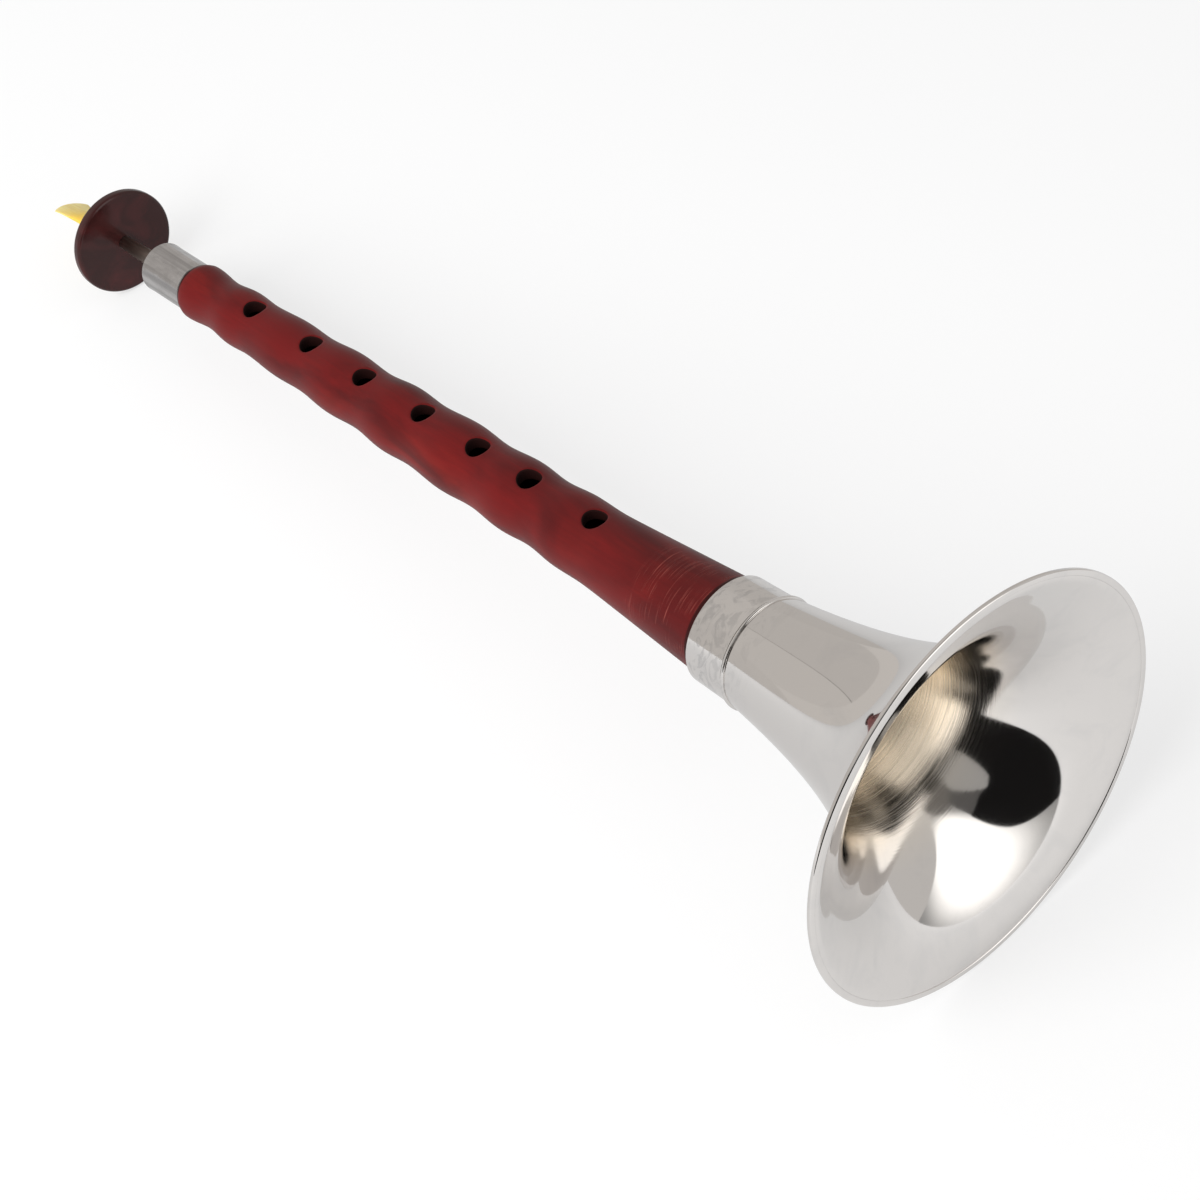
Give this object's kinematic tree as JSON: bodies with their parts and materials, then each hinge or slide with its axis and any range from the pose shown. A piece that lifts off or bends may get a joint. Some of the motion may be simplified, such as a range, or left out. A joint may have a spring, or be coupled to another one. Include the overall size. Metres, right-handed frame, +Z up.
{
  "type": "suona",
  "caption": "Conical wooden double-reed horn with turned finger-hole rings, a flared bright metal bell, a steel ferrule and staple, a dark lip disc and a fan-shaped cane reed.",
  "frame": {"origin": "centre of the footprint, on the surface it lies on", "axes": "+X from the reed towards the bell's mouth, +Z up; the finger holes face up"},
  "size_m": [0.4344, 0.124, 0.1232],
  "materials": {
    "wood": "oiled dark red hardwood",
    "nickel": "polished nickel",
    "steel": "satin steel",
    "thread": "waxed thread",
    "dark_plastic": "glossy dark maroon",
    "cane": "scraped yellow cane",
    "brass_wire": "plain drawn wire"
  },
  "bodies": {
    "pipe": {"pipe": "wood", "foot_winding": "thread", "ferrule": "steel"},
    "bell": {"bell_sleeve": "nickel", "bell_bead": "nickel", "bell_flare": "nickel", "bell_rim": "nickel"},
    "staple": {"staple": "steel", "staple_winding": "thread"},
    "lip_disc": {"lip_disc": "dark_plastic"},
    "reed": {"reed": "cane", "reed_binding": "brass_wire"}
  },
  "joints": [
    {"name": "bell_pull", "type": "slide", "parent": "pipe", "child": "bell", "axis": [0.994, 0, 0.1093], "range_m": [0, 0.04]},
    {"name": "staple_pull", "type": "slide", "parent": "pipe", "child": "staple", "axis": [-0.994, 0, -0.1093], "range_m": [0, 0.045]},
    {"name": "lip_disc_slide", "type": "slide", "parent": "staple", "child": "lip_disc", "axis": [-0.994, 0, -0.1093], "range_m": [0, 0.004]},
    {"name": "reed_pull", "type": "slide", "parent": "staple", "child": "reed", "axis": [-0.994, 0, -0.1093], "range_m": [0, 0.012]}
  ]
}
